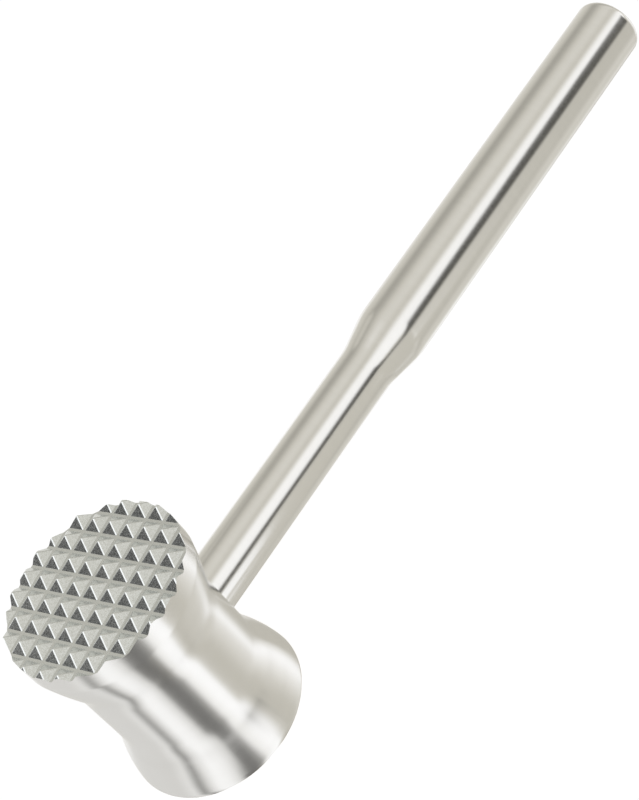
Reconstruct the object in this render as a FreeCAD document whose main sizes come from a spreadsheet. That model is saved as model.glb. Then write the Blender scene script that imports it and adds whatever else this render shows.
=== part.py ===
import FreeCAD, Part
import Sketcher
import math
import os
from types import SimpleNamespace

# All-steel meat mallet: a spool-shaped head with a toothed face and a smooth face,
# carried by a tube handle that is swaged down towards the head.
#
# Frame, in millimetres: the origin is the centre of the smooth striking face, on which
# the mallet stands. +Z runs up the head axis to the teeth, and +X runs along the handle
# to its end cap.

doc = FreeCAD.newDocument("meat_mallet")

# ---------------------------------------------------------------- driving dimensions

DRIVING_DIMENSIONS = [
    # head, outside
    ("rim_radius", 26.0, "outside radius of the head at both striking faces"),
    ("waist_radius", 21.8, "outside radius of the head at its waist"),
    ("waist_half", 12.1, "half the length of the straight waist"),
    ("high_bulge", 90.0, "radius of the outward bulge of the flare to the teeth"),
    ("low_bulge", 42.0, "radius of the outward bulge of the flare to the smooth face"),
    ("waist_fillet", 12.0, "softening where the waist turns into a flare"),
    ("axis_height", 28.9, "from the smooth face up to the handle axis"),
    # head, inside
    ("shell_wall", 2.5, "wall of the head shell"),
    ("face_plate", 2.9, "thickness of the smooth face outside the shell"),
    ("face_edge", 2.6, "rounding of the rim of the smooth face"),
    ("spigot_depth", 2.0, "how far each face is let into the shell"),
    ("shell_height", 56.5, "from the smooth face up to the top edge of the shell"),
    ("core_chamfer", 1.0, "chamfer at both ends of the core"),
    # teeth
    ("root_height", 60.0, "from the smooth face up to the floors of the grooves"),
    ("tooth_height", 2.2, "height of a tooth above the groove floor"),
    ("tooth_pitch", 6.12, "distance between neighbouring teeth"),
    ("groove_floor", 0.8, "width of the flat floor of a groove"),
    ("tooth_land", 0.2, "width of the blunt tip of a tooth"),
    ("tooth_turn", 9.0, "turn of the rows of teeth against the handle, in degrees"),
    # handle
    ("seat_reach", 16.0, "from the head axis to the seat of the handle in the core"),
    ("stem_radius", 7.9, "outside radius of the slim part of the handle"),
    ("stem_wall", 1.2, "wall of the slim part of the handle"),
    ("stem_end", 97.3, "from the head axis to the end of the slim part"),
    ("grip_start", 108.9, "from the head axis to the start of the grip"),
    ("grip_radius", 10.0, "outside radius of the grip"),
    ("grip_wall", 1.0, "wall of the grip"),
    ("neck_fillet", 24.0, "softening at both ends of the neck"),
    ("handle_reach", 232.6, "from the head axis to the end of the handle"),
    ("cap_plate", 2.6, "thickness of the end cap outside the tube"),
    ("cap_edge", 2.2, "rounding of the rim of the end cap"),
    ("cap_wall", 1.5, "wall of the skirt of the end cap"),
    ("cap_skirt", 7.0, "how far the end cap is let into the tube"),
    ("handle_clearance", 0.05, "gap round the handle where it enters the head"),
    # joint between head and handle
    ("stud_radius", 4.0, "radius of the M8 stud over its thread"),
    ("stud_inner_end", 14.0, "how far the stud reaches past the head axis"),
    ("stud_outer_end", 40.0, "from the head axis to the handle end of the stud"),
    ("stud_chamfer", 0.8, "chamfer at the ends of the stud"),
    ("thread_relief", 1.0, "drill depth beyond each end of the stud"),
    ("plug_length", 28.0, "length of the tapped plug in the handle"),
    ("washer_thickness", 1.6, "thickness of the spring washer"),
    ("washer_radius", 6.5, "outside radius of the spring washer"),
    ("washer_gap", 1.5, "width of the split in the spring washer"),
    ("washer_clearance", 0.2, "gap between the spring washer and the stud"),
    ("pin_radius", 1.5, "radius of the dowel pin that locks the stud"),
    ("pin_reach", 8.0, "from the head axis to the dowel pin, away from the handle"),
    ("pin_length", 28.0, "length of the dowel pin"),
    ("pin_above", 10.0, "how far the dowel pin rises above the handle axis"),
    ("pin_chamfer", 0.4, "chamfer at the ends of the dowel pin"),
]

sheet = doc.addObject("Spreadsheet::Sheet", "dims")
for row, (alias, number, meaning) in enumerate(DRIVING_DIMENSIONS, start=1):
    sheet.set(f"A{row}", meaning)
    sheet.set(f"B{row}", str(number))
    sheet.setAlias(f"B{row}", alias)
doc.recompute()


class Size:
    """A number that keeps the sheet formula it is worked out from."""

    def __init__(self, value, formula):
        self.value = value
        self.formula = formula

    def __add__(self, other):
        other = as_size(other)
        return Size(self.value + other.value, f"({self.formula} + {other.formula})")

    def __sub__(self, other):
        other = as_size(other)
        return Size(self.value - other.value, f"({self.formula} - {other.formula})")

    def __mul__(self, other):
        other = as_size(other)
        return Size(self.value * other.value, f"({self.formula} * {other.formula})")

    def __neg__(self):
        return self * -1


def as_size(item):
    return item if isinstance(item, Size) else Size(float(item), f"({float(item)})")


dim = SimpleNamespace(**{
    alias: Size(number, f"dims.{alias}") for alias, number, meaning in DRIVING_DIMENSIONS
})

ZERO = as_size(0)

# ---------------------------------------------------------------- building helpers


def new_body(label, on_handle_axis=False):
    """Start one sub-part. A handle piece is drawn about the handle axis and raised to it."""
    body = doc.addObject("PartDesign::Body", label)
    body.Label = label
    if on_handle_axis:
        body.setExpression("Placement.Base.z", dim.axis_height.formula)
    return body


def new_sketch(body, role, offset=ZERO):
    """Start a sketch on one of the body's own origin planes, moved along its normal."""
    plane = next(item for item in body.Origin.OriginFeatures if item.Role == role)
    sketch = body.newObject("Sketcher::SketchObject", body.Label + "_sketch")
    sketch.AttachmentSupport = [(plane, "")]
    sketch.MapMode = "FlatFace"
    if offset.value:
        sketch.setExpression("AttachmentOffset.Base.z", offset.formula)
    doc.recompute()
    return sketch


def constrain(sketch, kind, places, size):
    """Add a dimension to the sketch and bind it to the sheet."""
    index = sketch.addConstraint(Sketcher.Constraint(kind, *places, size.value))
    sketch.setExpression(f"Constraints[{index}]", size.formula)


def fix_point(sketch, edge, end, across, up):
    """Hold one end of an edge at its distance from the two axes of the sketch."""
    for kind, axis, size in (("DistanceX", -2, across), ("DistanceY", -1, up)):
        if size.value == 0:
            sketch.addConstraint(Sketcher.Constraint("PointOnObject", edge, end, axis))
        else:
            constrain(sketch, kind, (-1, 1, edge, end), size)


def arc_through(start, end, radius):
    """Arc from start to end. Its centre is on the left for a positive radius."""
    chord = end - start
    middle = (start + end) * 0.5
    left = FreeCAD.Vector(-chord.y, chord.x, 0).normalize()
    rise = math.sqrt(radius ** 2 - (chord.Length / 2) ** 2)
    centre = middle + left * math.copysign(rise, radius)
    first, last = (start, end) if radius > 0 else (end, start)
    angles = [math.atan2(point.y - centre.y, point.x - centre.x) for point in (first, last)]
    circle = Part.Circle(centre, FreeCAD.Vector(0, 0, 1), abs(radius))
    return Part.ArcOfCircle(circle, *angles)


def draw_outline(sketch, corners):
    """Draw a closed outline. A corner is (across, up), or (across, up, radius) where an
    arc leaves it, with its centre to the left of the way round for a positive radius."""
    sizes = [tuple(as_size(item) for item in corner) for corner in corners]
    points = [FreeCAD.Vector(item[0].value, item[1].value, 0) for item in sizes]
    ends = []
    for index, corner in enumerate(sizes):
        start, end = points[index], points[(index + 1) % len(points)]
        if len(corner) == 3:
            sketch.addGeometry(arc_through(start, end, corner[2].value))
            ends.append((1, 2) if corner[2].value > 0 else (2, 1))
        else:
            sketch.addGeometry(Part.LineSegment(start, end))
            ends.append((1, 2))
    for index, corner in enumerate(sizes):
        following = (index + 1) % len(sizes)
        meeting = (index, ends[index][1], following, ends[following][0])
        sketch.addConstraint(Sketcher.Constraint("Coincident", *meeting))
        fix_point(sketch, index, ends[index][0], corner[0], corner[1])
        if len(corner) == 3:
            radius = corner[2] if corner[2].value > 0 else -corner[2]
            constrain(sketch, "Radius", (index,), radius)
    doc.recompute()


def draw_circle(sketch, across, up, radius):
    """Draw one circle, with its centre and radius bound to the sheet."""
    centre = FreeCAD.Vector(across.value, up.value, 0)
    sketch.addGeometry(Part.Circle(centre, FreeCAD.Vector(0, 0, 1), radius.value))
    fix_point(sketch, 0, 3, across, up)
    constrain(sketch, "Radius", (0,), radius)
    doc.recompute()


def revolve(body, sketch, axis):
    """Turn the outline round one axis of its sketch."""
    turned = body.newObject("PartDesign::Revolution", body.Label + "_turned")
    turned.Profile = sketch
    turned.ReferenceAxis = (sketch, [axis])
    turned.Angle = 360
    sketch.Visibility = False
    doc.recompute()
    return turned


def turned_body(label, corners, axis="V_Axis"):
    """A piece turned on a lathe: about the head axis, or about the handle axis."""
    body = new_body(label, on_handle_axis=(axis == "H_Axis"))
    sketch = new_sketch(body, "XZ_Plane")
    draw_outline(sketch, corners)
    revolve(body, sketch, axis)
    return body


def cut(body, sketch, length=None, forwards=False):
    """Cut the sketch out of the body: for a length along or against the normal of the
    sketch, or right through both ways. Stops if nothing is cut."""
    before = body.Shape.Volume
    pocket = body.newObject("PartDesign::Pocket", body.Label + "_cut")
    pocket.Profile = sketch
    if length is None:
        pocket.Type = "ThroughAll"
        pocket.SideType = "Symmetric"
    else:
        pocket.Type = "Length"
        pocket.setExpression("Length", length.formula)
        pocket.Reversed = forwards
    doc.recompute()
    if not body.Shape.Volume < before - 0.01:
        raise RuntimeError(f"{pocket.Label} cuts nothing")
    return pocket


def ring_edges(feature, radius, distance, axis):
    """Names of the circular edges of one radius whose centre is this far along an axis."""
    names = []
    for index, edge in enumerate(feature.Shape.Edges, start=1):
        if not isinstance(edge.Curve, Part.Circle):
            continue
        along = getattr(edge.Curve.Center, axis)
        if abs(edge.Curve.Radius - radius.value) < 0.01 and abs(along - distance.value) < 0.01:
            names.append(f"Edge{index}")
    if not names:
        raise RuntimeError(f"{feature.Label} has no such ring edge")
    return names


def round_rings(body, size, rings, axis):
    """Round the ring edges given as (radius, distance along the axis)."""
    base = body.Tip
    names = [name for radius, distance in rings
             for name in ring_edges(base, radius, distance, axis)]
    fillet = body.newObject("PartDesign::Fillet", body.Label + "_rounding")
    fillet.Base = (base, names)
    fillet.setExpression("Radius", size.formula)
    doc.recompute()


def chamfer_rings(body, size, rings, axis):
    """Chamfer the ring edges given as (radius, distance along the axis)."""
    base = body.Tip
    names = [name for radius, distance in rings
             for name in ring_edges(base, radius, distance, axis)]
    chamfer = body.newObject("PartDesign::Chamfer", body.Label + "_chamfer")
    chamfer.Base = (base, names)
    chamfer.setExpression("Size", size.formula)
    doc.recompute()


# ---------------------------------------------------------------- the head

bore_radius = dim.waist_radius - dim.shell_wall
mouth_radius = dim.rim_radius - dim.shell_wall
core_bottom = dim.face_plate + dim.spigot_depth
core_top = dim.shell_height - dim.spigot_depth
handle_hole = dim.stem_radius + dim.handle_clearance


def head_shell():
    """The spool-shaped sleeve: a straight waist, a flare to each rim and a hole in its
    side for the handle. The flare to the teeth bulges less and ends in a straight rim.
    The inside follows the outside and is straight at both mouths."""
    low_waist = dim.axis_height - dim.waist_half
    high_waist = dim.axis_height + dim.waist_half
    high_flare = dim.axis_height * 2 - dim.face_plate
    inner_low_waist = low_waist - dim.shell_wall * 0.25
    inner_high_waist = high_waist + dim.shell_wall * 0.25
    body = turned_body("head_shell", [
        (dim.rim_radius, dim.face_plate, dim.low_bulge),
        (dim.waist_radius, low_waist),
        (dim.waist_radius, high_waist, dim.high_bulge),
        (dim.rim_radius, high_flare),
        (dim.rim_radius, dim.shell_height),
        (mouth_radius, dim.shell_height),
        (mouth_radius, core_top, -dim.high_bulge),
        (bore_radius, inner_high_waist),
        (bore_radius, inner_low_waist, -dim.low_bulge),
        (mouth_radius, core_bottom),
        (mouth_radius, dim.face_plate),
    ])
    round_rings(body, dim.waist_fillet,
                [(dim.waist_radius, low_waist), (dim.waist_radius, high_waist)], "z")
    hole = new_sketch(body, "YZ_Plane")
    draw_circle(hole, ZERO, dim.axis_height, handle_hole)
    cut(body, hole, dim.rim_radius, forwards=True)
    return body


def smooth_face():
    """The flat striking face: a plate with a rounded rim and a low spigot behind it."""
    body = turned_body("smooth_face", [
        (0, 0),
        (dim.rim_radius, 0),
        (dim.rim_radius, dim.face_plate),
        (mouth_radius, dim.face_plate),
        (mouth_radius, core_bottom),
        (0, core_bottom),
    ])
    round_rings(body, dim.face_edge, [(dim.rim_radius, ZERO)], "z")
    return body


def toothed_face():
    """The cast tenderizing face: a plate cut by two crossing sets of V grooves with flat
    floors, which leave square pyramids. One pyramid stands on the head axis."""
    tip_height = dim.root_height + dim.tooth_height
    body = turned_body("toothed_face", [
        (0, core_top),
        (mouth_radius, core_top),
        (mouth_radius, dim.shell_height),
        (dim.rim_radius, dim.shell_height),
        (dim.rim_radius, tip_height),
        (0, tip_height),
    ])
    grooves_each_side = math.ceil(dim.rim_radius.value / dim.tooth_pitch.value)
    groove_count = 2 * grooves_each_side
    first_groove = dim.tooth_pitch * -(grooves_each_side - 0.5)
    half_floor = dim.groove_floor * 0.5
    half_mouth = (dim.tooth_pitch - dim.tooth_land) * 0.5
    for role in ("XZ_Plane", "YZ_Plane"):
        groove = new_sketch(body, role)
        draw_outline(groove, [
            (first_groove - half_floor, dim.root_height),
            (first_groove + half_floor, dim.root_height),
            (first_groove + half_mouth, tip_height),
            (first_groove - half_mouth, tip_height),
        ])
        pocket = cut(body, groove)
        row = body.newObject("PartDesign::LinearPattern", "toothed_face_row")
        row.Originals = [pocket]
        row.Direction = (groove, ["H_Axis"])
        row.setExpression("Length", (dim.tooth_pitch * (groove_count - 1)).formula)
        row.Occurrences = groove_count
        body.Tip = row
        doc.recompute()
    body.setExpression("Placement.Rotation.Angle", dim.tooth_turn.formula)
    doc.recompute()
    return body


def head_core():
    """The solid weight in the shell. It has a flat seat for the handle, a tapped hole for
    the stud and a reamed hole from below for the pin that locks the stud."""
    body = turned_body("head_core", [
        (0, core_bottom),
        (bore_radius, core_bottom),
        (bore_radius, core_top),
        (0, core_top),
    ])
    chamfer_rings(body, dim.core_chamfer,
                  [(bore_radius, core_bottom), (bore_radius, core_top)], "z")
    seat = new_sketch(body, "YZ_Plane", dim.seat_reach)
    draw_circle(seat, ZERO, dim.axis_height, handle_hole)
    cut(body, seat, dim.rim_radius - dim.seat_reach, forwards=True)
    thread = new_sketch(body, "YZ_Plane", dim.seat_reach)
    draw_circle(thread, ZERO, dim.axis_height, dim.stud_radius)
    cut(body, thread, dim.seat_reach + dim.stud_inner_end + dim.thread_relief)
    pin_hole = new_sketch(body, "XY_Plane", core_bottom)
    draw_circle(pin_hole, -dim.pin_reach, ZERO, dim.pin_radius)
    cut(body, pin_hole, dim.axis_height + dim.pin_above - core_bottom, forwards=True)
    return body


def stud_lock_pin():
    """The dowel pin across the stud. It keeps blows from unscrewing the stud."""
    top = dim.axis_height + dim.pin_above
    bottom = top - dim.pin_length
    body = new_body("stud_lock_pin")
    section = new_sketch(body, "XY_Plane", bottom)
    draw_circle(section, -dim.pin_reach, ZERO, dim.pin_radius)
    rod = body.newObject("PartDesign::Pad", "stud_lock_pin_rod")
    rod.Profile = section
    rod.setExpression("Length", dim.pin_length.formula)
    doc.recompute()
    chamfer_rings(body, dim.pin_chamfer, [(dim.pin_radius, bottom), (dim.pin_radius, top)], "z")
    return body


# ---------------------------------------------------------------- the handle

plug_start = dim.seat_reach + dim.washer_thickness
plug_end = plug_start + dim.plug_length
stem_bore = dim.stem_radius - dim.stem_wall
grip_bore = dim.grip_radius - dim.grip_wall
tube_end = dim.handle_reach - dim.cap_plate


def tie_stud():
    """The M8 stud that ties the handle to the core, plain over its thread diameter."""
    body = turned_body("tie_stud", [
        (-dim.stud_inner_end, 0),
        (dim.stud_outer_end, 0),
        (dim.stud_outer_end, dim.stud_radius),
        (-dim.stud_inner_end, dim.stud_radius),
    ], axis="H_Axis")
    chamfer_rings(body, dim.stud_chamfer, [
        (dim.stud_radius, -dim.stud_inner_end),
        (dim.stud_radius, dim.stud_outer_end),
    ], "x")
    cross_hole = new_sketch(body, "XY_Plane")
    draw_circle(cross_hole, -dim.pin_reach, ZERO, dim.pin_radius)
    cut(body, cross_hole)
    return body


def lock_washer():
    """The split spring washer between the seat in the core and the plug."""
    hole_radius = dim.stud_radius + dim.washer_clearance
    body = turned_body("lock_washer", [
        (dim.seat_reach, hole_radius),
        (plug_start, hole_radius),
        (plug_start, dim.washer_radius),
        (dim.seat_reach, dim.washer_radius),
    ], axis="H_Axis")
    split = new_sketch(body, "YZ_Plane", dim.seat_reach)
    half_gap = dim.washer_gap * 0.5
    draw_outline(split, [
        (-half_gap, 0),
        (half_gap, 0),
        (half_gap, dim.washer_radius),
        (-half_gap, dim.washer_radius),
    ])
    cut(body, split, dim.washer_thickness, forwards=True)
    return body


def handle_plug():
    """The tapped plug pressed into the slim end of the tube."""
    thread_end = dim.stud_outer_end + dim.thread_relief
    return turned_body("handle_plug", [
        (plug_start, dim.stud_radius),
        (thread_end, dim.stud_radius),
        (thread_end, 0),
        (plug_end, 0),
        (plug_end, stem_bore),
        (plug_start, stem_bore),
    ], axis="H_Axis")


def handle_tube():
    """The handle: one tube, swaged from the grip down to the slim part with a soft neck."""
    body = turned_body("handle_tube", [
        (dim.seat_reach, stem_bore),
        (dim.stem_end, stem_bore),
        (dim.grip_start, grip_bore),
        (tube_end, grip_bore),
        (tube_end, dim.grip_radius),
        (dim.grip_start, dim.grip_radius),
        (dim.stem_end, dim.stem_radius),
        (dim.seat_reach, dim.stem_radius),
    ], axis="H_Axis")
    round_rings(body, dim.neck_fillet, [
        (dim.stem_radius, dim.stem_end),
        (dim.grip_radius, dim.grip_start),
        (stem_bore, dim.stem_end),
        (grip_bore, dim.grip_start),
    ], "x")
    return body


def handle_end_cap():
    """The cap that closes the grip: a plate with a rounded rim and a skirt in the tube."""
    skirt_start = tube_end - dim.cap_skirt
    skirt_bore = grip_bore - dim.cap_wall
    body = turned_body("handle_end_cap", [
        (skirt_start, skirt_bore),
        (tube_end, skirt_bore),
        (tube_end, 0),
        (dim.handle_reach, 0),
        (dim.handle_reach, dim.grip_radius),
        (tube_end, dim.grip_radius),
        (tube_end, grip_bore),
        (skirt_start, grip_bore),
    ], axis="H_Axis")
    round_rings(body, dim.cap_edge, [(dim.grip_radius, dim.handle_reach)], "x")
    return body


# ---------------------------------------------------------------- build and write

pieces = [
    head_shell(),
    toothed_face(),
    smooth_face(),
    head_core(),
    stud_lock_pin(),
    tie_stud(),
    lock_washer(),
    handle_plug(),
    handle_tube(),
    handle_end_cap(),
]
doc.recompute()

for item in doc.Objects:
    if "Invalid" in item.State or "Error" in item.State:
        raise RuntimeError(f"{item.Label} failed: {item.State}")

for piece in pieces:
    shape = piece.Shape
    if shape.isNull() or not shape.isValid() or len(shape.Solids) != 1:
        raise RuntimeError(f"{piece.Label} is not one sound solid")

os.makedirs("parts", exist_ok=True)
for piece in pieces:
    piece.Shape.exportStep(os.path.join("parts", piece.Label + ".step"))
    box = piece.Shape.BoundBox
    print(f"{piece.Label}: {piece.Shape.Volume / 1000:.2f} cm3, "
          f"x {box.XMin:.1f} to {box.XMax:.1f}, z {box.ZMin:.1f} to {box.ZMax:.1f}")
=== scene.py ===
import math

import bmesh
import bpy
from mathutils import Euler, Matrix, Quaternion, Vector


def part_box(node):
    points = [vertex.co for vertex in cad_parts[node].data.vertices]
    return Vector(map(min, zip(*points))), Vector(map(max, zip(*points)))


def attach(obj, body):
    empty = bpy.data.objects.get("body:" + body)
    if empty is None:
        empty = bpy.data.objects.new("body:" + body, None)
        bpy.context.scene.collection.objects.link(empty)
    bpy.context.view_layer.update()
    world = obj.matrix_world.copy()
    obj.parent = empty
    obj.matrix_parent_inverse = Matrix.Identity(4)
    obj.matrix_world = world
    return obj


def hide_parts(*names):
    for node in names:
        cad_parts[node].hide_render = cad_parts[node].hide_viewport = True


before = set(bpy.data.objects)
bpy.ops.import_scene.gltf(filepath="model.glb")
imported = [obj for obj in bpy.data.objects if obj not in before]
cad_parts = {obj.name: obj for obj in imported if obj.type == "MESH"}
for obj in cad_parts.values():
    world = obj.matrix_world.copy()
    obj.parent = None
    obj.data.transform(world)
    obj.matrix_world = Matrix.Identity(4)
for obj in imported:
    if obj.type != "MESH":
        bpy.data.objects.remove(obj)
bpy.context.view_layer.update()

# %% [markdown]
# # An all-steel meat mallet
# A butcher's mallet is a heavy spool of stainless steel on a tube handle. One end of the
# spool is a cast face with rows of small pyramids, which break up the meat, and the other
# end is flat, for pounding it thin. Everything is the same steel, so the finish does the
# work: fine grinding lines round the flank and the handle, and a rough cast skin on the
# teeth.
#
# The working parts inside the head are already modelled as solids: the core, the stud, its
# pin and washer, and the plug in the handle. This lesson turns new outer pieces around them
# and gives every piece its metal. Lengths are in metres, +Z runs up the head to the teeth
# and +X runs along the handle.

MM = 0.001
CM3 = (10 * MM) ** 3
TINY = 0.001 * MM

# %% Sizes that the solid model settles
shell_low, shell_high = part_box("head_shell")
core_low, core_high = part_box("head_core")
teeth_low, teeth_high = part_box("toothed_face")
tube_low, tube_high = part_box("handle_tube")
plug_low, plug_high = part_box("handle_plug")
cap_low, cap_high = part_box("handle_end_cap")

axis_height = (tube_low.z + tube_high.z) / 2
rim_radius = shell_high.y
bore_radius = core_high.y
grip_radius = tube_high.y
stem_bore = plug_high.y
print("handle axis", round(axis_height / MM, 2), "mm up, rim radius", round(rim_radius / MM, 2))

# %% Sizes chosen for the finished surface
# Along the handle, lengths are counted from the head axis.
SHELL_WALL = 2.5 * MM
WAIST_HALF = 12.1 * MM
HIGH_BULGE = 90 * MM
LOW_BULGE = 42 * MM
WAIST_SOFTENING = 18 * MM
STEM_WALL = 1.2 * MM
GRIP_WALL = 1.0 * MM
STEM_END = 97.3 * MM
GRIP_START = 108.9 * MM
NECK_SOFTENING = 24 * MM
CAP_WALL = 1.5 * MM
CAP_EDGE = 2.2 * MM
SEAM_EASE = 0.02 * MM

waist_radius = bore_radius + SHELL_WALL
mouth_radius = rim_radius - SHELL_WALL
stem_radius = stem_bore + STEM_WALL
grip_bore = grip_radius - GRIP_WALL
print("waist radius", round(waist_radius / MM, 2), "stem radius", round(stem_radius / MM, 2))

# %% [markdown]
# ## Turning on a lathe
# The shell, the smooth face, the handle tube and its cap are all turned: the real ones come
# off a lathe or a spinning mandrel. The same is done here. A single vertex is extruded along
# the outline of one side, and Spin carries that outline once round the axis. Round stretches
# of the outline come from the centre and the two ends of an arc, so that they are smooth at
# any size. After the spin the first and last outline lie on each other, so doubles are
# merged and the normals are worked out again.

# %% Arcs for an outline
def arc_centre(start, end, radius):
    """Centre of the arc between two points. It is on the left for a positive radius."""
    chord = end - start
    left = Vector((-chord.y, chord.x)).normalized()
    rise = math.sqrt(radius ** 2 - (chord.length / 2) ** 2)
    return (start + end) / 2 + left * math.copysign(rise, radius)


def arc(centre, start, end, steps):
    """Points of the arc from start to end the short way, both ends included."""
    first = math.atan2(start.y - centre.y, start.x - centre.x)
    sweep = math.atan2(end.y - centre.y, end.x - centre.x) - first
    sweep = (sweep + math.pi) % math.tau - math.pi
    reach = (start - centre).length
    angles = [first + sweep * step / steps for step in range(steps + 1)]
    return [centre + Vector((math.cos(a), math.sin(a))) * reach for a in angles]


def arc_of_radius(start, end, radius, steps):
    """Points of the arc between two points, with its centre on the left for a positive
    radius."""
    return arc(arc_centre(start, end, radius), start, end, steps)


def line(start, end, steps):
    """Evenly spaced points from start to end, both ends included."""
    return [start.lerp(end, step / steps) for step in range(steps + 1)]


# %% Spinning an outline into a piece
HEAD_STEPS = 256
HANDLE_STEPS = 128
SOFT_BELOW = 40


def only(*objects):
    """Leave only these objects selected, the first of them active."""
    bpy.ops.object.select_all(action="DESELECT")
    for item in objects:
        item.select_set(True)
    bpy.context.view_layer.objects.active = objects[0]


def tidy_mesh(piece, soft_below):
    """Merge doubles, turn the faces outward and smooth the edges that turn by less than an
    angle in degrees."""
    only(piece)
    bpy.ops.object.mode_set(mode="EDIT")
    bpy.ops.mesh.select_all(action="SELECT")
    bpy.ops.mesh.remove_doubles(threshold=TINY)
    bpy.ops.mesh.normals_make_consistent(inside=False)
    bpy.ops.object.mode_set(mode="OBJECT")
    bpy.ops.object.shade_smooth_by_angle(angle=math.radians(soft_below))


def turned(name, outline, steps, along_handle=False):
    """Turn an outline of (distance from the axis, distance along the axis) points about the
    head axis, or about the handle axis."""
    if along_handle:
        places = [Vector((along, 0, axis_height + out)) for out, along in outline]
        centre, axis = (0, 0, axis_height), (1, 0, 0)
    else:
        places = [Vector((out, 0, along)) for out, along in outline]
        centre, axis = (0, 0, 0), (0, 0, 1)
    bpy.ops.mesh.primitive_plane_add(size=MM, location=(0, 0, 0))
    piece = bpy.context.object
    piece.name = piece.data.name = name
    only(piece)
    bpy.ops.object.mode_set(mode="EDIT")
    bpy.ops.mesh.select_mode(type="VERT")
    bpy.ops.mesh.select_all(action="SELECT")
    bpy.ops.mesh.merge(type="CENTER")
    bpy.ops.transform.translate(value=places[0])
    for here, there in zip(places, places[1:]):
        bpy.ops.mesh.extrude_region_move(TRANSFORM_OT_translate={"value": there - here})
    bpy.ops.mesh.select_all(action="SELECT")
    bpy.ops.mesh.spin(steps=steps, angle=math.tau, center=centre, axis=axis)
    bpy.ops.object.mode_set(mode="OBJECT")
    tidy_mesh(piece, SOFT_BELOW)
    return piece


def report(piece):
    """Print what was made, and whether its surface is closed."""
    shape = bmesh.new()
    shape.from_mesh(piece.data)
    open_edges = sum(not edge.is_manifold for edge in shape.edges)
    volume = shape.calc_volume(signed=True) / CM3
    shape.free()
    print(f"{piece.name}: {len(piece.data.polygons)} faces, {open_edges} open edges,",
          f"{volume:.2f} cm3")


# %% [markdown]
# ## The head shell
# The flank of the head is a sleeve with a straight waist and a flare to each rim. Each flare
# bulges a little outward, and the turn between waist and flare is eased by the grinding
# belt. The eased turn is an arc that touches both the waist line and the bulge, so its
# centre lies one softening outside the waist and, from the centre of the bulge, the two
# radii away. The flare to the teeth is almost straight and the other one is rounder. The rim
# is a hair under the solid's, which leaves room for the smooth face to run on from it.

# %% Outline of a flare
EASE_STEPS = 14
BULGE_STEPS = 24
flare_rise = axis_height - shell_low.z
waist_corner = Vector((waist_radius, WAIST_HALF))
rim_corner = Vector((rim_radius - SEAM_EASE, flare_rise))


def flare_outline(bulge):
    """A flare from waist to rim as (distance out, distance from the handle axis), and the
    centre of its bulge."""
    centre = arc_centre(waist_corner, rim_corner, bulge)
    soft_centre = Vector((waist_radius + WAIST_SOFTENING, 0))
    across = soft_centre.x - centre.x
    soft_centre.y = centre.y - math.sqrt((bulge + WAIST_SOFTENING) ** 2 - across ** 2)
    soft_start = Vector((waist_radius, soft_centre.y))
    soft_end = centre.lerp(soft_centre, bulge / (bulge + WAIST_SOFTENING))
    eased_turn = arc(soft_centre, soft_start, soft_end, EASE_STEPS)
    return eased_turn + arc(centre, soft_end, rim_corner, BULGE_STEPS)[1:], centre


high_side, _ = flare_outline(HIGH_BULGE)
low_side, low_centre = flare_outline(LOW_BULGE)
print("the waist is straight for", round((high_side[0].y + low_side[0].y) / MM, 1), "mm")

# %% Outline of the shell, outside and inside
INNER_STEPS = 12
WAIST_STEPS = 6
HIGH_RIM_STEPS = 3
high_flare = [Vector((p.x, axis_height + p.y)) for p in high_side]
low_flare = [Vector((p.x, axis_height - p.y)) for p in reversed(low_side)]
high_rim = line(high_flare[-1], Vector((rim_radius, shell_high.z)), HIGH_RIM_STEPS)

inner_half = WAIST_HALF + SHELL_WALL / 4
inner_top = Vector((mouth_radius, core_high.z))
inner_bottom = Vector((mouth_radius, core_low.z))
inner_high_waist = Vector((bore_radius, axis_height + inner_half))
inner_low_waist = Vector((bore_radius, axis_height - inner_half))
inner_high = arc_of_radius(inner_top, inner_high_waist, -HIGH_BULGE, INNER_STEPS)
inner_low = arc_of_radius(inner_low_waist, inner_bottom, -LOW_BULGE, INNER_STEPS)

shell_outline = [
    *low_flare,
    *line(low_flare[-1], high_flare[0], WAIST_STEPS)[1:-1],
    *high_flare,
    *high_rim[1:],
    Vector((mouth_radius, shell_high.z)),
    *inner_high,
    *inner_low,
    Vector((mouth_radius, shell_low.z)),
    low_flare[0],
]
head_shell = turned("head_shell_ground", shell_outline, HEAD_STEPS)
report(head_shell)

# %% [markdown]
# ## The hole for the handle
# The handle slides into a hole in the side of the waist with hardly any play. The hole is
# drilled with a Boolean: a cylinder a hair wider than the stem is subtracted from the shell,
# only on the handle's side.

# %% Drilling the shell
HOLE_GAP = 0.05 * MM


def carve(piece, tool, operation):
    """Apply a Boolean of the tool to the piece, then throw the tool away."""
    only(piece)
    change = piece.modifiers.new(operation.lower(), "BOOLEAN")
    change.object = tool
    change.operation = operation
    change.solver = "EXACT"
    bpy.ops.object.modifier_apply(modifier=change.name)
    bpy.data.objects.remove(tool)


bpy.ops.mesh.primitive_cylinder_add(
    vertices=HANDLE_STEPS, radius=stem_radius + HOLE_GAP, depth=rim_radius,
    location=(rim_radius, 0, axis_height), rotation=(0, math.pi / 2, 0))
drill = bpy.context.object
carve(head_shell, drill, "DIFFERENCE")
tidy_mesh(head_shell, SOFT_BELOW)
report(head_shell)

# %% [markdown]
# ## The smooth face
# The pounding face is a plate, let into the shell and welded round. After grinding nobody
# can find the seam, because the flank runs on into the rounded rim. So the rim here is one
# arc that leaves the flare in the flare's own direction and lands flat on the striking
# face. Its radius follows from the height of the seam and the slope of the flare there. The
# striking face itself is a few rings, so that its fine turning marks have even faces to
# lie on.

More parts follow.
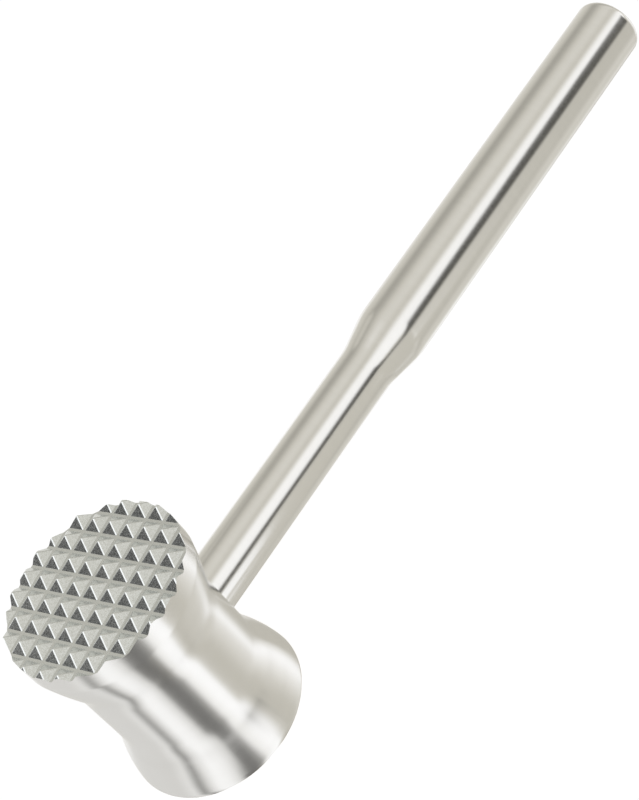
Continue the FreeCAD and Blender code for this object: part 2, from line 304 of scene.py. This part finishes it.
# %% Turning the smooth face
FACE_RINGS = 12
RIM_STEPS = 14
seam = Vector((rim_corner.x, shell_low.z))
flare_normal = (rim_corner - low_centre).normalized()
rim_lean = -flare_normal.y
rim_round = seam.y / (1 + rim_lean)
rim_centre = Vector((seam.x - rim_round * flare_normal.x, rim_round))
rim_foot = Vector((rim_centre.x, 0))

face_outline = [
    *line(Vector((0, 0)), rim_foot, FACE_RINGS),
    *arc(rim_centre, rim_foot, seam, RIM_STEPS)[1:],
    Vector((mouth_radius, seam.y)),
    Vector((mouth_radius, core_low.z)),
    Vector((0, core_low.z)),
]
smooth_face = turned("smooth_face_ground", face_outline, HEAD_STEPS)
print("rim rounding", round(rim_round / MM, 2), "mm")
report(smooth_face)

# %% [markdown]
# ## The toothed face
# The tenderizing face is cast: two crossing sets of V grooves with narrow flat floors leave
# square pyramids, and one pyramid stands on the head axis. The rows are turned a little
# against the handle. A grid gives one square cell for each tooth. Inset shrinks every cell
# to the foot of its tooth and leaves the groove floors between, and Poke raises the middle
# of each foot to a point. Casting and tumbling leave no sharp arris, so the ridges get a
# small Bevel.

# %% Sizes of the teeth
ROOT_HEIGHT = 60.0 * MM
TOOTH_PITCH = 6.12 * MM
GROOVE_FLOOR = 0.8 * MM
TOOTH_TURN = math.radians(9)
RIDGE_ROUND = 0.19 * MM
tooth_height = teeth_high.z - ROOT_HEIGHT
teeth_across = 2 * math.ceil(rim_radius / TOOTH_PITCH - 0.5) + 1
print(teeth_across, "teeth across,", round(tooth_height / MM, 2), "mm high")

# %% A square block of teeth
block_side = teeth_across * TOOTH_PITCH
bpy.ops.mesh.primitive_grid_add(
    x_subdivisions=teeth_across, y_subdivisions=teeth_across,
    size=block_side, location=(0, 0, 0))
teeth = bpy.context.object
teeth.name = "block_of_teeth"
only(teeth)
bpy.ops.object.mode_set(mode="EDIT")
bpy.ops.mesh.select_all(action="SELECT")
bpy.ops.transform.translate(value=(0, 0, ROOT_HEIGHT))
bpy.ops.mesh.inset(thickness=GROOVE_FLOOR / 2, depth=0, use_individual=True)
bpy.ops.mesh.poke(offset=tooth_height)


def select_edges(piece, wanted):
    """Select the edges whose two ends pass the test, in edit mode."""
    bpy.ops.mesh.select_mode(type="EDGE")
    bpy.ops.mesh.select_all(action="DESELECT")
    shape = bmesh.from_edit_mesh(piece.data)
    for edge in shape.edges:
        edge.select = wanted(*[corner.co for corner in edge.verts])
    shape.select_flush_mode()
    bmesh.update_edit_mesh(piece.data)
    return sum(edge.select for edge in shape.edges)


def is_ridge(one, two):
    """An edge that climbs from the foot of a tooth to its point."""
    return abs(one.z - two.z) > tooth_height / 2


print(select_edges(teeth, is_ridge), "ridges")
bpy.ops.mesh.bevel(offset=RIDGE_ROUND, segments=1, affect="EDGES")

# %% Thickness, turn and trim
BLOCK_DEPTH = 8 * MM
BLANK_STEPS = 6
CAST_SOFT_BELOW = 25


def is_border(one, two):
    """An edge that lies along one side of the block."""
    half = block_side / 2 - TINY
    return any(abs(one[k]) > half and abs(two[k]) > half and one[k] * two[k] > 0 for k in (0, 1))


print(select_edges(teeth, is_border), "border edges")
bpy.ops.mesh.extrude_region_move(TRANSFORM_OT_translate={"value": (0, 0, -BLOCK_DEPTH)})
bpy.ops.mesh.edge_face_add()
bpy.ops.mesh.select_all(action="SELECT")
bpy.ops.mesh.normals_make_consistent(inside=False)
bpy.ops.transform.rotate(value=-TOOTH_TURN, orient_axis="Z", center_override=(0, 0, 0))
bpy.ops.object.mode_set(mode="OBJECT")
report(teeth)

blank_top = teeth_high.z + 1 * MM
blank_outline = [
    Vector((0, teeth_low.z)),
    Vector((mouth_radius, teeth_low.z)),
    Vector((mouth_radius, shell_high.z)),
    *line(Vector((rim_radius, shell_high.z)), Vector((rim_radius, blank_top)), BLANK_STEPS),
    Vector((0, blank_top)),
]
toothed_face = turned("toothed_face_cast", blank_outline, HEAD_STEPS)
carve(toothed_face, teeth, "INTERSECT")
tidy_mesh(toothed_face, CAST_SOFT_BELOW)
report(toothed_face)

# %% [markdown]
# ## The handle
# The handle is one tube. Its first part is swaged down, which leaves a short cone with soft
# ends between the slim stem and the grip. Each soft end is an arc that touches the cone and
# the straight tube, and it starts one tangent length from their corner.

# %% Easing a corner of the outline
def eased(before, corner, after, radius, steps):
    """Arc that rounds a corner of the outline and touches both of its sides."""
    back = (before - corner).normalized()
    ahead = (after - corner).normalized()
    half_turn = (math.pi - back.angle(ahead)) / 2
    tangent = radius * math.tan(half_turn)
    centre = corner + (back + ahead).normalized() * (radius / math.cos(half_turn))
    return arc(centre, corner + back * tangent, corner + ahead * tangent, steps)


# %% Turning the handle tube
STEM_STEPS = 14
NECK_STEPS = 10
CONE_STEPS = 4
GRIP_STEPS = 20


def tube_side(stem, grip):
    """One side of the tube wall, from the seat in the core to the end of the grip."""
    start = Vector((stem, tube_low.x))
    neck_start = Vector((stem, STEM_END))
    neck_end = Vector((grip, GRIP_START))
    end = Vector((grip, tube_high.x))
    low_ease = eased(start, neck_start, neck_end, NECK_SOFTENING, NECK_STEPS)
    high_ease = eased(neck_start, neck_end, end, NECK_SOFTENING, NECK_STEPS)
    return [
        *line(start, low_ease[0], STEM_STEPS),
        *low_ease[1:],
        *line(low_ease[-1], high_ease[0], CONE_STEPS)[1:],
        *high_ease[1:],
        *line(high_ease[-1], end, GRIP_STEPS)[1:],
    ]


outside = tube_side(stem_radius, grip_radius)
inside = tube_side(stem_bore, grip_bore)
handle_tube = turned("handle_tube_ground", [*outside, *reversed(inside), outside[0]],
                     HANDLE_STEPS, along_handle=True)
report(handle_tube)

# %% [markdown]
# ## The end cap
# The cap closes the grip. It is a plate with a rounded rim and a skirt that fits in the
# tube. It is welded on and ground, so its rim carries straight on from the tube.

# %% Turning the end cap
CAP_RINGS = 8
CAP_EDGE_STEPS = 16
edge_start = Vector((grip_radius, cap_high.x - CAP_EDGE))
edge_end = Vector((grip_radius - CAP_EDGE, cap_high.x))
skirt_bore = grip_bore - CAP_WALL
cap_outline = [
    *line(Vector((0, cap_high.x)), edge_end, CAP_RINGS),
    *arc(Vector((edge_end.x, edge_start.y)), edge_end, edge_start, CAP_EDGE_STEPS)[1:],
    Vector((grip_radius, tube_high.x)),
    Vector((grip_bore, tube_high.x)),
    Vector((grip_bore, cap_low.x)),
    Vector((skirt_bore, cap_low.x)),
    Vector((skirt_bore, tube_high.x)),
    Vector((0, tube_high.x)),
]
end_cap = turned("handle_end_cap_ground", cap_outline, HANDLE_STEPS, along_handle=True)
report(end_cap)

# %% [markdown]
# ## Shader sums in plain Python
# A material is a little sum at every point of the surface. Writing it as nodes one by one
# hides the sum, so a small class wraps a node's output and lets it be added, subtracted and
# multiplied like a number. Every other node comes from one method, which sets what kind of
# node it is first and then its inputs.

# %% A socket that can be used in a sum
class Value:
    """An output socket of a node, which adds Math nodes when it is used in a sum."""

    def __init__(self, socket):
        self.socket = socket

    def sum_with(self, operation, *terms):
        recipe = Recipe(self.socket.id_data)
        return recipe.node("ShaderNodeMath", {"operation": operation}, dict(enumerate(terms)))

    def __add__(self, other):
        return self.sum_with("ADD", self, other)

    def __radd__(self, other):
        return self.sum_with("ADD", other, self)

    def __sub__(self, other):
        return self.sum_with("SUBTRACT", self, other)

    def __rsub__(self, other):
        return self.sum_with("SUBTRACT", other, self)

    def __mul__(self, other):
        return self.sum_with("MULTIPLY", self, other)

    def __rmul__(self, other):
        return self.sum_with("MULTIPLY", other, self)

    def __truediv__(self, other):
        return self.sum_with("DIVIDE", self, other)

    def __pow__(self, other):
        return self.sum_with("POWER", self, other)


# %% One method for every other node
class Recipe:
    """A node tree under construction."""

    def __init__(self, tree):
        self.tree = tree

    def node(self, kind, settings=None, sockets=None, output=0):
        """Add a node: its settings, then its sockets by name or number. Gives one output."""
        made = self.tree.nodes.new(kind)
        for name, setting in (settings or {}).items():
            if name == "stops":
                self.set_stops(made.color_ramp, setting)
            else:
                setattr(made, name, setting)
        for name, value in (sockets or {}).items():
            if isinstance(value, Value):
                self.tree.links.new(value.socket, made.inputs[name])
            else:
                made.inputs[name].default_value = value
        return Value(made.outputs[output]) if made.outputs else None

    def set_stops(self, ramp, stops):
        """Give a colour ramp its stops, each (place from 0 to 1, colour)."""
        while len(ramp.elements) < len(stops):
            ramp.elements.new(1)
        for element, (place, colour) in zip(ramp.elements, stops):
            element.position = place
            element.color = (*colour, 1)

    def axes(self, place):
        """The three numbers of a place or a direction."""
        split = self.node("ShaderNodeSeparateXYZ", sockets={0: place}).socket.node
        return [Value(split.outputs[axis]) for axis in "XYZ"]

    def mix(self, factor, first, second):
        """Blend two colours."""
        sockets = {0: factor, 6: colour_of(first), 7: colour_of(second)}
        return self.node("ShaderNodeMix", {"data_type": "RGBA"}, sockets, output=2)

    def span(self, value, start, end, low=0.0, high=1.0):
        """A smooth step: low before start, high after end."""
        return self.node("ShaderNodeMapRange", {"interpolation_type": "SMOOTHSTEP"}, {
            "Value": value, "From Min": start, "From Max": end, "To Min": low, "To Max": high})


def colour_of(item):
    """A colour as a node wants it, with its fourth number."""
    return item if isinstance(item, Value) else (*item, 1)


def screen(level):
    """A board that looks this bright on a screen, from 0 to 1. Greys are a little warm.
    The power and the two small numbers are those of the usual screen curve."""
    linear = ((level + 0.055) / 1.055) ** 2.4
    warmth = min(0.14, 0.6 * (1 - level))
    return (linear, linear * (1 - 0.25 * warmth), linear * (1 - warmth))


# %% [markdown]
# ## Satin stainless steel
# The flank and the handle are finished on a belt while they turn, which leaves hair-fine
# lines round the piece. Seen from arm's length the lines vanish, but they soften the
# reflections and give the steel its silky look. The lines are noise that is stretched a
# long way round the piece and squeezed along it: the pattern reads how far a point is along
# the axis plus how far it is out from it, so the lines also run in rings over the flat ends.
# They change the roughness and the colour a little, and a very shallow bump breaks the
# highlights. The head had the coarser belt, so its reflections are also smeared across the
# lines, up and down the flank.

# %% The satin finish
LINE_DENSITY = 3200
LINE_LENGTH = 45
ACROSS_LINES = 0.25


def steel(name):
    """A new material with an empty node tree."""
    material = bpy.data.materials.new(name)
    material.use_nodes = True
    material.node_tree.nodes.clear()
    return material, Recipe(material.node_tree)


def point(recipe):
    """The place on the piece, whole and as its three numbers."""
    place = recipe.node("ShaderNodeTexCoord", output="Object")
    return place, recipe.axes(place)


def finish_metal(recipe, colour, roughness, height, depth, strength, brushed=0.0):
    """End a metal: colour, roughness, a bump of this height pattern, depth and strength,
    and how much more a reflection is smeared across the grinding lines than along them."""
    normal = recipe.node("ShaderNodeBump", sockets={
        "Height": height, "Distance": depth, "Strength": strength})
    metal = recipe.node("ShaderNodeBsdfPrincipled", sockets={
        "Base Color": colour, "Metallic": 1.0, "Roughness": roughness, "Normal": normal,
        "Anisotropic": brushed, "Anisotropic Rotation": ACROSS_LINES})
    recipe.node("ShaderNodeOutputMaterial", sockets={"Surface": metal})


def satin_steel(name, along_handle, blur, brushed):
    """Belt-ground stainless steel, with lines round the head axis or the handle axis."""
    material, recipe = steel(name)
    place, (x, y, z) = point(recipe)
    if along_handle:
        along, side, up = x, y, z - axis_height
    else:
        along, side, up = z, x, y
    out = (side * side + up * up) ** 0.5
    lines_at = recipe.node("ShaderNodeCombineXYZ", sockets={
        0: side * LINE_LENGTH, 1: up * LINE_LENGTH, 2: (along + out) * LINE_DENSITY})
    lines = recipe.node("ShaderNodeTexNoise", sockets={
        "Vector": lines_at, "Scale": 1.0, "Detail": 3.0, "Roughness": 0.6})
    passes = recipe.node("ShaderNodeTexNoise", sockets={
        "Vector": lines_at, "Scale": 0.12, "Detail": 2.0, "Roughness": 0.5})
    clouds = recipe.node("ShaderNodeTexNoise", sockets={
        "Vector": place, "Scale": 55.0, "Detail": 2.0})
    tone = lines * 0.45 + passes * 0.35 + clouds * 0.2
    colour = recipe.mix(tone, (0.85, 0.845, 0.835), (0.95, 0.945, 0.935))
    roughness = blur + 0.07 * lines + 0.03 * clouds
    finish_metal(recipe, colour, roughness, lines + passes * 2, 0.003 * MM, 0.5, brushed)
    return material


head_satin = satin_steel("satin_steel_head", along_handle=False, blur=0.15, brushed=0.95)
handle_satin = satin_steel("satin_steel_handle", along_handle=True, blur=0.13, brushed=0.0)

# %% [markdown]
# ## Cast steel
# The teeth keep the skin that the mould gave them: a fine salt-and-pepper grain. On top of it
# painted shade makes the colour a little darker down in the grooves and lighter towards the
# points. The grain is noise of two sizes. It makes the speckle in the colour and the roughness
# and the pits in the bump, and the height above the groove floor shifts the tone a little, as
# that painted shade.

# %% The cast finish
def cast_steel(name):
    """Investment-cast stainless steel, with painted shade that darkens it down in the grooves.
    """
    material, recipe = steel(name)
    place, (x, y, z) = point(recipe)
    grain = recipe.node("ShaderNodeTexNoise", sockets={
        "Vector": place, "Scale": 2600.0, "Detail": 2.0, "Roughness": 0.6})
    skin = recipe.node("ShaderNodeTexNoise", sockets={
        "Vector": place, "Scale": 700.0, "Detail": 2.0})
    # Painted shade: the colour is darker at the groove floor and lighter up towards the points.
    rise = recipe.span(z, ROOT_HEIGHT - 0.2 * MM, teeth_high.z)
    speckle = recipe.span(grain, 0.36, 0.64)
    tone = rise * 0.2 + speckle * 0.55 + skin * 0.25
    colour = recipe.mix(tone, (0.79, 0.815, 0.815), (0.925, 0.95, 0.95))
    roughness = 0.22 + 0.14 * speckle
    finish_metal(recipe, colour, roughness, grain + skin * 1.5, 0.03 * MM, 0.6)
    return material


teeth_cast = cast_steel("cast_steel_teeth")

# %% [markdown]
# ## Steel inside the head
# The core and the plug are turned from bar, so they keep coarse lathe rings and a duller
# grey. The stud, its washer and the pin are bought parts with a bright zinc-like skin. None
# of them shows on the finished mallet, but each is a real piece and has its own finish.

# %% Turned bar and fasteners
LATHE_FEED = 0.4 * MM


def turned_bar(name, along_handle):
    """Lathe-turned bar: rings about its axis over dull grey steel."""
    material, recipe = steel(name)
    place, (x, y, z) = point(recipe)
    along = x if along_handle else z
    turns = along * (math.tau / LATHE_FEED)
    rings = recipe.node("ShaderNodeMath", {"operation": "SINE"}, {0: turns})
    stain = recipe.node("ShaderNodeTexNoise", sockets={
        "Vector": place, "Scale": 140.0, "Detail": 4.0})
    colour = recipe.mix(stain, (0.36, 0.355, 0.345), (0.56, 0.555, 0.54))
    finish_metal(recipe, colour, 0.32 + 0.12 * stain, rings * 0.5 + stain, 0.01 * MM, 0.4)
    return material


def bright_fastener(name):
    """Plated steel of a bought fastener: light, smooth and very slightly mottled."""
    material, recipe = steel(name)
    place, _ = point(recipe)
    mottle = recipe.node("ShaderNodeTexNoise", sockets={
        "Vector": place, "Scale": 420.0, "Detail": 3.0})
    colour = recipe.mix(mottle, (0.70, 0.71, 0.72), (0.86, 0.865, 0.87))
    finish_metal(recipe, colour, 0.20 + 0.14 * mottle, mottle, 0.006 * MM, 0.4)
    return material


core_steel = turned_bar("turned_steel_core", along_handle=False)
plug_steel = turned_bar("turned_steel_plug", along_handle=True)
fastener_steel = bright_fastener("bright_fastener_steel")

# %% [markdown]
# ## Putting the metal on
# Each new piece takes one finish, except the toothed face. Its side is ground together with
# the shell, so the faces that lie on the rim get the satin finish and all others stay cast.

# %% Finishes for the new pieces
RIM_DEPTH = 0.1 * MM
UPRIGHT = 0.05


def coat(piece, *materials):
    """Give a piece these finishes and no others."""
    piece.data.materials.clear()
    for material in materials:
        piece.data.materials.append(material)


coat(head_shell, head_satin)
coat(smooth_face, head_satin)
coat(toothed_face, teeth_cast, head_satin)
coat(handle_tube, handle_satin)
coat(end_cap, handle_satin)

ground = 0
for face in toothed_face.data.polygons:
    on_rim = Vector(face.center.xy).length > rim_radius - RIM_DEPTH
    if on_rim and abs(face.normal.z) < UPRIGHT:
        face.material_index = 1
        ground += 1
print(ground, "faces of the toothed face are ground with the flank")

# %% Finishes for the pieces inside
for node, metal in (("head_core", core_steel), ("handle_plug", plug_steel),
                    ("tie_stud", fastener_steel), ("stud_lock_pin", fastener_steel),
                    ("lock_washer", fastener_steel)):
    coat(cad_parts[node], metal)

# %% Where each new piece belongs
for piece, node, slot in ((head_shell, "head_shell", "satin_steel"),
                          (smooth_face, "smooth_face", "satin_steel"),
                          (toothed_face, "toothed_face", "cast_steel"),
                          (handle_tube, "handle_tube", "satin_steel"),
                          (end_cap, "handle_end_cap", "satin_steel")):
    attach(piece, "root")
    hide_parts(node)

# %% [markdown]
# ## The light table
# Steel has no colour of its own to show: what is seen is the studio. The mallet stands on a
# white light table, which is lit from below and so takes almost no shadow. The table is kept
# out of the steel's reflections, and so is the white room. In their place the steel sees
# strips of white board and black velvet that stand round the table.

# %% The table
TABLE_SIDE = 30.0
TABLE_LIGHT = 0.72


def lit_surface(name, paint, light, strength):
    """A matt painted surface that gives off light of its own."""
    surface = bpy.data.materials.new(name)
    surface.use_nodes = True
    shader = surface.node_tree.nodes["Principled BSDF"]
    shader.inputs["Base Color"].default_value = colour_of(paint)
    shader.inputs["Roughness"].default_value = 1.0
    shader.inputs["Specular IOR Level"].default_value = 0.0
    shader.inputs["Emission Color"].default_value = colour_of(light)
    shader.inputs["Emission Strength"].default_value = strength
    return surface


bpy.ops.mesh.primitive_plane_add(size=TABLE_SIDE, location=(0, 0, 0))
table = bpy.context.object
table.name = "light_table"
coat(table, lit_surface("light_table_top", (0.9, 0.9, 0.9), (1, 1, 1), TABLE_LIGHT))
table.visible_glossy = False

# %% [markdown]
# ## The boards round the table
# Each board is placed by its bearing, in degrees, and has a brightness from 0 for black
# velvet to 1 for white board. The bearing is not that of the board itself but that of the
# steel that mirrors it to someone who looks at the head along the line of sight. On the
# upright flank of the head it is turned from the front towards the handle, and on the handle
# it is turned from the front over the top of the tube. Reading the boards this way makes them
# easy to place: velvet at 25 degrees draws its dark line where the tube leans back by 25
# degrees.

# %% Boards seen by the head and by the handle
LINE_OF_SIGHT = Vector((0.170, 0.725, -0.668))

head_boards = [
    (-105, 0.97), (-96, 0.94), (-90, 0.86), (-84, 0.84), (-64, 0.83), (-57, 0.89),
    (-52, 0.53), (-48, 0.85), (-43, 0.985), (-37, 0.96), (-32, 0.86),
    (-28, 0.49), (-24, 0.44), (-20, 0.47), (-16, 0.60), (-12, 0.94),
    (-7, 1.0), (-0.5, 1.0), (4, 0.81), (8, 0.735), (13, 0.735),
    (20, 0.81), (28, 0.92), (34, 0.985), (38, 1.0), (42, 0.92),
    (46, 0.745), (65.5, 0.745), (69, 0.86), (100, 0.87), (122, 0.96), (150, 0.90),
]
handle_boards = [
    (-20, 0.80), (14, 0.765), (27, 0.76), (29, 0.97), (36, 0.975), (43, 0.965),
    (46, 0.92), (49, 0.83), (52, 0.765), (56, 0.785), (62, 0.82), (70, 0.81),
    (76, 0.765), (82, 0.68), (88, 0.635), (92, 0.65), (96, 0.715), (101, 0.77),
    (113, 0.81), (118, 0.87), (123, 0.93), (130, 0.95),
]
print(len(head_boards), "boards for the head,", len(handle_boards), "for the handle")

# %% The room as a recipe
room = bpy.data.worlds.new("studio")
bpy.context.scene.world = room
room.use_nodes = True
room.node_tree.nodes.clear()
recipe = Recipe(room.node_tree)
look_x, look_y, look_z = recipe.axes(recipe.node("ShaderNodeTexCoord", output="Generated"))


def bearing(across, ahead):
    """Angle in degrees from straight ahead."""
    turn = recipe.node("ShaderNodeMath", {"operation": "ARCTAN2"}, {0: across, 1: ahead})
    return turn * (180 / math.pi)


def boards(angle, places):
    """Colour of the boards at a bearing."""
    first, last = places[0][0], places[-1][0]
    stops = [((turn - first) / (last - first), screen(level)) for turn, level in places]
    return recipe.node("ShaderNodeValToRGB", {"stops": stops},
                       {"Fac": (angle - first) / (last - first)})


def patch(centre, inner, outer):
    """A round patch of the room: 1 within the inner angle, 0 beyond the outer one."""
    centre = Vector(centre).normalized()
    facing = look_x * centre.x + look_y * centre.y + look_z * centre.z
    return recipe.span(facing, math.cos(math.radians(outer)), math.cos(math.radians(inner)))


# %% Bearing of the steel that mirrors each part of the room
lift = math.degrees(math.atan2(-LINE_OF_SIGHT.z, LINE_OF_SIGHT.y))
flank_angle = bearing(look_x - LINE_OF_SIGHT.x, LINE_OF_SIGHT.y - look_y)
tube_angle = (bearing(look_z, look_y * -1) + lift) / 2
print("the line of sight falls by", round(lift, 1), "degrees")

# %% [markdown]
# ## Boards that lean
# The boards for the head lean in over the table, so the row changes from the ground up. The
# higher one looks, the further the boards fan out from one of them, the pivot, and the whole
# row drifts a little towards the handle, while the boards next to the pivot are pinched
# together. The flare to the smooth face mirrors the higher part of the row, and the pinch
# keeps the dark band there as narrow as it is on the waist.
#
# The boards for the handle stand on top of them, above a brim that is a little higher on
# the side away from the handle. One strip of velvet among them gives the tube its thin dark
# line. It widens towards the end of the handle, where the line is wider too.

# %% Fan, drift and pinch of the boards for the head
PIVOT = -22
PINCH_REACH = 8
fan = recipe.span(look_z, -1.0, -0.45, low=0.85, high=1.13)
low_drift = recipe.span(look_z, -0.95, -0.70, low=-0.7, high=0.0)
high_drift = recipe.span(look_z, -0.67, -0.30, low=0.0, high=2.0)
off_pivot = (flank_angle - (low_drift + high_drift) - PIVOT) / fan
pinch = recipe.span(look_z, -0.62, -0.25, low=0.0, high=0.9)
pinch = pinch / (1 + off_pivot * off_pivot / PINCH_REACH ** 2)
flank_angle = off_pivot * (1 + pinch) + PIVOT

# %% The boards for the handle stand on those for the head
BRIM_RISE = 0.12
brim = BRIM_RISE * (1 - recipe.span(look_x, 0.0, 0.15))
above = recipe.span(look_z - brim, -0.14, -0.02)
seen = recipe.mix(above, boards(flank_angle, head_boards), boards(tube_angle, handle_boards))

# %% The velvet for the dark line of the handle
VELVET_LEAN = 12
velvet_centre = 25.3 + VELVET_LEAN * (look_x - 0.29)
velvet_half = recipe.span(look_x, 0.22, 0.62, low=2.8, high=7.6)
off_centre = recipe.node("ShaderNodeMath", {"operation": "ABSOLUTE"},
                         {0: tube_angle - velvet_centre})
velvet = 1 - recipe.span(off_centre - velvet_half, -1.5, 2.0)
velvet_ends = recipe.span(look_x, -0.1, -0.02) * (1 - recipe.span(look_x, 0.6, 0.72))
velvet = velvet * above * velvet_ends

# %% [markdown]
# ## Lights and flags for single faces
# A few smaller lights and flags finish the set, each for one part of the steel. The teeth
# need three: a dark corner for the slopes that face away from the handle, a bright light
# overhead for the ridges beside those slopes, and plain grey for the groove floors. One grey
# flag calms the flare to the teeth and another one the neck. Where the steel turns away at
# its outline it mirrors what lies straight behind it, which is a pale glow. Last, the room
# is less warm on the side away from the handle, which the dark slopes of the teeth mirror.

# %% Patches of light and shade
TOP_LIGHT = (1.15, 1.15, 1.15)
flare_flag = patch((0.50, -0.10, -0.86), 8, 20)
neck_flag = patch((0.29, -0.76, -0.58), 3, 10)
dark_corner = patch((-0.70, 0.60, 0.40), 22, 42) * recipe.span(look_z, 0.15, 0.33)
floor_grey = patch((0.08, 0.74, 0.67), 6, 13)
ridge_light = patch((-0.38, 0, 0.93), 14, 26)
outline_glow = patch(LINE_OF_SIGHT, 4, 18)
patches = [
    (flare_flag, screen(0.80)), (neck_flag, screen(0.765)),
    (velvet, screen(0.30)), (dark_corner, screen(0.30)),
    (floor_grey, screen(0.76)), (ridge_light, TOP_LIGHT),
    (outline_glow, screen(0.925)),
]
for where, colour in patches:
    seen = recipe.mix(where, seen, colour)
warmth = recipe.span(look_x, -0.35, 0.05, low=0.4, high=1.0)
seen = recipe.node("ShaderNodeHueSaturation", sockets={"Saturation": warmth, "Color": seen})
print(len(patches), "patches on the boards")

# %% Steel sees the boards, and everything else sees a white room
BOARD_GAIN = 1.11
ROOM_LIGHT = 0.34
path = recipe.node("ShaderNodeLightPath").socket.node
is_glossy = Value(path.outputs["Is Glossy Ray"])
is_camera = Value(path.outputs["Is Camera Ray"])
plain = recipe.node("ShaderNodeBackground", sockets={
    "Color": (1, 1, 1, 1), "Strength": is_camera * (1 - ROOM_LIGHT) + ROOM_LIGHT})
mirrored = recipe.node("ShaderNodeBackground", sockets={"Color": seen, "Strength": BOARD_GAIN})
both = recipe.node("ShaderNodeMixShader", sockets={0: is_glossy, 1: plain, 2: mirrored})
recipe.node("ShaderNodeOutputWorld", sockets={"Surface": both})

# %% [markdown]
# ## A grey card for the neck
# The cone of the neck leans forward and would catch the white board meant for the head. In
# a studio a grey card close to the work cures that: it is near enough to fill the mirror of
# the neck, and it hardly changes any other reflection. Only the steel can see it.

# %% The card
CARD_WIDTH, CARD_HEIGHT = 78 * MM, 360 * MM
CARD_CENTRE = Vector((119, -157, -144)) * MM
CARD_GREY = 0.765
bpy.ops.mesh.primitive_plane_add(size=1, location=CARD_CENTRE)
card = bpy.context.object
card.name = "grey_card"
only(card)
card.scale = (CARD_WIDTH, CARD_HEIGHT, 1)
card.rotation_euler = (math.pi / 2, 0, 0)
bpy.ops.object.transform_apply(location=False, rotation=True, scale=True)
coat(card, lit_surface("grey_card_face", (0, 0, 0), screen(CARD_GREY), BOARD_GAIN))
card.visible_camera = card.visible_diffuse = card.visible_shadow = False

# %% [markdown]
# ## The camera
# The camera looks down at the mallet from the side, a little from the head's end, and it is
# rolled so that the handle climbs to the upper right of the picture. It aims at the top of
# the handle, about a third of the way along it.

# %% The camera
CAMERA_TURN = math.radians(25.479)
CAMERA_DOWN = math.radians(39.087)
CAMERA_ROLL = math.radians(-37.701)
CAMERA_DISTANCE = 470.96 * MM
CAMERA_AIM = Vector((79.75, 0.17, 36.06)) * MM
LENS = 78.85
SENSOR = 36

bpy.ops.object.camera_add()
camera = bpy.context.object
camera.name = "camera"
camera.data.lens = LENS
camera.data.sensor_width = SENSOR
camera.data.sensor_fit = "AUTO"
camera.data.clip_start = 0.01
camera.data.clip_end = 100
level_view = Euler((math.pi / 2 - CAMERA_DOWN, 0, -CAMERA_TURN)).to_quaternion()
camera.rotation_mode = "QUATERNION"
camera.rotation_quaternion = level_view @ Quaternion((0, 0, 1), CAMERA_ROLL)
camera.location = CAMERA_AIM + camera.rotation_quaternion @ Vector((0, 0, CAMERA_DISTANCE))
bpy.context.scene.camera = camera
bpy.context.scene.view_settings.view_transform = "Standard"
print("camera at", [round(c, 4) for c in camera.location])
